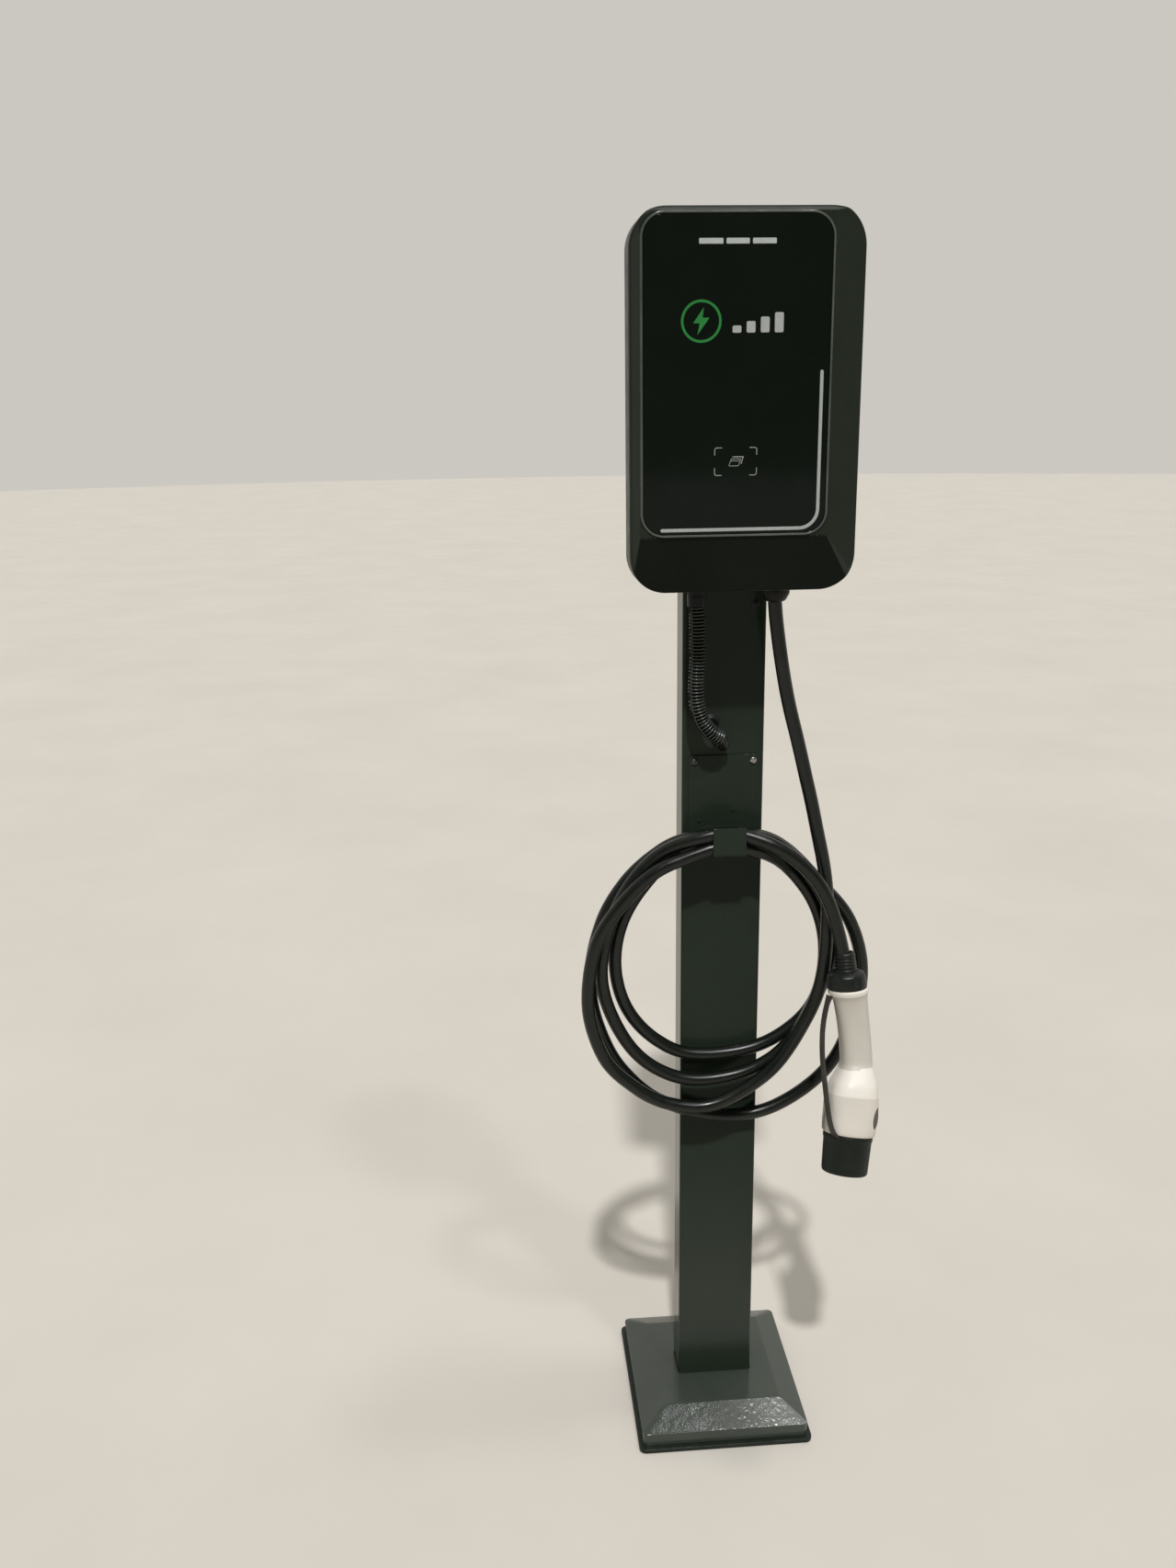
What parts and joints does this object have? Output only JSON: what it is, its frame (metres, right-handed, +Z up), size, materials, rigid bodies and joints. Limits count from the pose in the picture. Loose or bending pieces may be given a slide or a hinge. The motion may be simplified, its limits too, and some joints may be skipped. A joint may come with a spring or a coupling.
{
  "type": "ev charging post",
  "caption": "Floor-standing steel post with a wall-box charger head, cable hook, coiled charging cable and a capped vehicle connector with a release button.",
  "frame": {"origin": "on the floor under the middle of the box round the post, base and head, measured without the charging cable and connector", "axes": "+Z up, the charger head and hook face -Y, +X to the right seen from the front"},
  "size_m": [0.368, 0.3127, 1.531],
  "materials": {
    "post_paint": "semi-gloss powder coat",
    "head_plastic": "fine textured",
    "panel_gloss": "polished",
    "light_white": "diffusing",
    "black_rubber": "matt",
    "black_plastic": "satin",
    "cable_black": "satin sheath",
    "screw_steel": "bright zinc",
    "silvered_brass": "silver plated",
    "gun_white": "satin",
    "grey_plastic": "satin",
    "board_green": "solder mask",
    "seal_rubber": "matt",
    "bracket_steel": "zinc plated"
  },
  "bodies": {
    "post": {"base_plate": "post_paint", "base_cover": "post_paint", "post_tube": "post_paint", "hook_plate": "post_paint", "rear_housing": "head_plastic", "front_housing": "head_plastic", "front_panel": "panel_gloss", "status_light_1": "light_white", "status_light_2": "light_white", "status_light_3": "light_white", "light_strip": "light_white", "entry_grommet": "black_rubber", "gun_strain_relief": "black_rubber", "cap_strap": "black_rubber", "post_top_cap": "black_plastic", "conduit": "black_plastic", "conduit_gland": "black_plastic", "output_gland_body": "black_plastic", "output_gland_nut": "black_plastic", "gun_collar_nut": "black_plastic", "gun_nose": "black_plastic", "contact_block": "black_plastic", "contactor": "black_plastic", "current_sensor": "black_plastic", "button_switch": "black_plastic", "charging_cable_lead": "cable_black", "charging_cable_coil": "cable_black", "charging_cable_tail": "cable_black", "supply_cable": "cable_black", "hook_screw_1": "screw_steel", "hook_screw_2": "screw_steel", "hook_screw_3": "screw_steel", "hook_screw_4": "screw_steel", "earth_screw": "screw_steel", "bracket_screw_1": "screw_steel", "bracket_screw_2": "screw_steel", "housing_screw_1": "screw_steel", "housing_screw_2": "screw_steel", "housing_screw_3": "screw_steel", "housing_screw_4": "screw_steel", "housing_bolt_1": "screw_steel", "housing_bolt_2": "screw_steel", "contact_earth": "silvered_brass", "contact_line": "silvered_brass", "contact_neutral": "silvered_brass", "contact_pilot": "silvered_brass", "contact_proximity": "silvered_brass", "gun_shell_front": "gun_white", "gun_shell_rear": "gun_white", "power_supply": "grey_plastic", "supply_terminals": "grey_plastic", "output_terminals": "grey_plastic", "supply_wires": "grey_plastic", "output_wires": "grey_plastic", "led_board": "board_green", "main_board": "board_green", "housing_gasket": "seal_rubber", "mounting_bracket": "bracket_steel"},
    "cap": {"connector_cap": "black_rubber"},
    "button": {"release_button": "grey_plastic"}
  },
  "joints": [
    {"name": "cap_pull", "type": "slide", "parent": "post", "child": "cap", "axis": [-0.15, -0.312, -0.9381], "range_m": [0, 0.045], "deforming": ["cap_strap"]},
    {"name": "button_press", "type": "slide", "parent": "post", "child": "button", "axis": [-0.7574, 0.6462, -0.0938], "range_m": [0, 0.003], "stiffness_N_per_m": 400}
  ]
}
